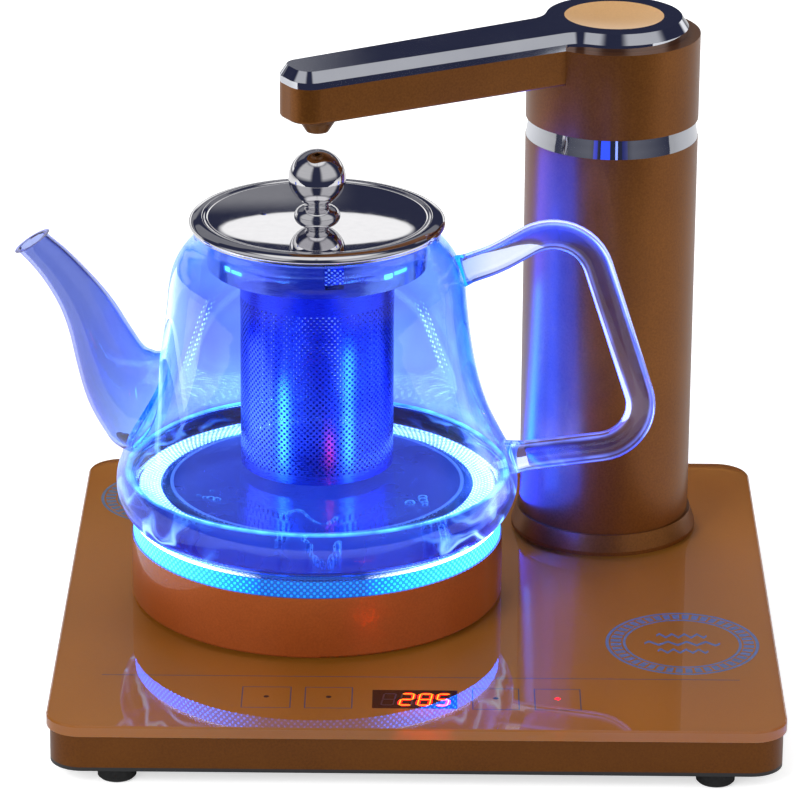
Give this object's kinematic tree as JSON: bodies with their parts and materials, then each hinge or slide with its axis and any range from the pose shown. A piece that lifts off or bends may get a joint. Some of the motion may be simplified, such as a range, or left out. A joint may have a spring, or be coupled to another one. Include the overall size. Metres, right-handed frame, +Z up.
{
  "type": "automatic tea maker",
  "caption": "Automatic tea maker: a glass kettle with infuser, lid, spout and handle on a lit heating base, on a touch-key tray beside a water column with a swinging filler arm.",
  "frame": {"origin": "on the table, under the middle of the outline from the spout tip to the right edge of the tray and from the front edge to the end of the inlet barb", "axes": "+Z up, -Y towards the user, +X to the user's right, with the spout pointing to -X"},
  "size_m": [0.3026, 0.2888, 0.247],
  "materials": {
    "panel_glass": "tempered glass, painted gold brown behind, polished",
    "gold_paint": "satin gold metallic paint",
    "chrome_plate": "bright plating",
    "polished_steel": "mirror-polished stainless steel",
    "plain_steel": "plain steel",
    "aluminium": "cast, plain",
    "kettle_glass": "clear borosilicate glass",
    "clear_plastic": "clear ribbed plastic, lit from below",
    "brass_contact": "plain brass",
    "black_plastic": "moulded, fine texture",
    "white_plastic": "moulded food-grade plastic",
    "nozzle_plastic": "moulded, gloss",
    "display_window": "dark tinted window",
    "circuit_board": "solder-masked board",
    "led": "clear encapsulant",
    "silicone": "translucent silicone",
    "rubber": "matte"
  },
  "bodies": {
    "tray": {"bottom_cover": "black_plastic", "chrome_ring": "chrome_plate", "column_flare": "gold_paint", "column_tube": "gold_paint", "cord_gland": "black_plastic", "coupler_cone": "black_plastic", "coupler_contacts": "brass_contact", "cover_screws": "plain_steel", "deck_screws": "plain_steel", "display_module": "display_window", "glass_panel": "panel_glass", "inlet_barb": "brass_contact", "inlet_hose": "silicone", "power_board": "circuit_board", "power_components": "black_plastic", "pump_bracket": "plain_steel", "pump_cover": "black_plastic", "pump_housing": "black_plastic", "pump_motor": "plain_steel", "riser_hose": "silicone", "rubber_feet": "rubber", "swivel_clip": "plain_steel", "swivel_post": "white_plastic", "swivel_seal": "silicone", "touch_board": "circuit_board", "touch_pillars": "black_plastic", "tray_frame": "gold_paint"},
    "pump_rotor": {"pump_impeller": "black_plastic", "pump_shaft": "plain_steel"},
    "arm": {"head_shell": "gold_paint", "swivel_elbow": "white_plastic", "arm_shell": "gold_paint", "arm_screws": "plain_steel", "arm_trim": "chrome_plate", "head_cap": "gold_paint", "nozzle": "nozzle_plastic", "arm_hose": "silicone"},
    "socket": {"coupler_socket": "black_plastic", "socket_pins": "brass_contact"},
    "kettle": {"base_shell": "gold_paint", "base_bottom_cover": "black_plastic", "base_screws": "plain_steel", "led_board": "circuit_board", "ring_leds": "led", "light_ring": "clear_plastic", "kettle_glass": "kettle_glass", "spout": "kettle_glass", "handle": "kettle_glass", "heating_plate": "plain_steel", "plate_seal": "silicone", "clamp_ring": "plain_steel", "heat_spreader": "aluminium", "heating_element": "plain_steel", "thermostat": "plain_steel"},
    "infuser": {"infuser_collar": "polished_steel", "infuser_basket": "polished_steel"},
    "lid": {"lid_shell": "polished_steel", "lid_knob": "polished_steel", "lid_screw": "plain_steel"}
  },
  "joints": [
    {"name": "arm_swivel", "type": "hinge", "parent": "tray", "child": "arm", "pos_m": [0.08682, 0.06615, 0.2226], "axis": [0, 0, 1], "range_deg": [-90, 90]},
    {"name": "pump_spin", "type": "hinge", "parent": "tray", "child": "pump_rotor", "pos_m": [0.08682, 0.06615, 0.06], "axis": [0, 0, 1], "continuous": true},
    {"name": "kettle_lift", "type": "slide", "parent": "tray", "child": "socket", "axis": [0, -0.866, 0.5], "range_m": [0, 0.24]},
    {"name": "kettle_turn", "type": "hinge", "parent": "socket", "child": "kettle", "pos_m": [-0.03168, -0.00535, 0.0263], "axis": [0, 0, 1], "range_deg": [-120, 10]},
    {"name": "infuser_lift", "type": "slide", "parent": "kettle", "child": "infuser", "axis": [0, 0, 1], "range_m": [0, 0.007]},
    {"name": "lid_lift", "type": "slide", "parent": "infuser", "child": "lid", "axis": [0, -0.866, 0.5], "range_m": [0, 0.15]}
  ]
}
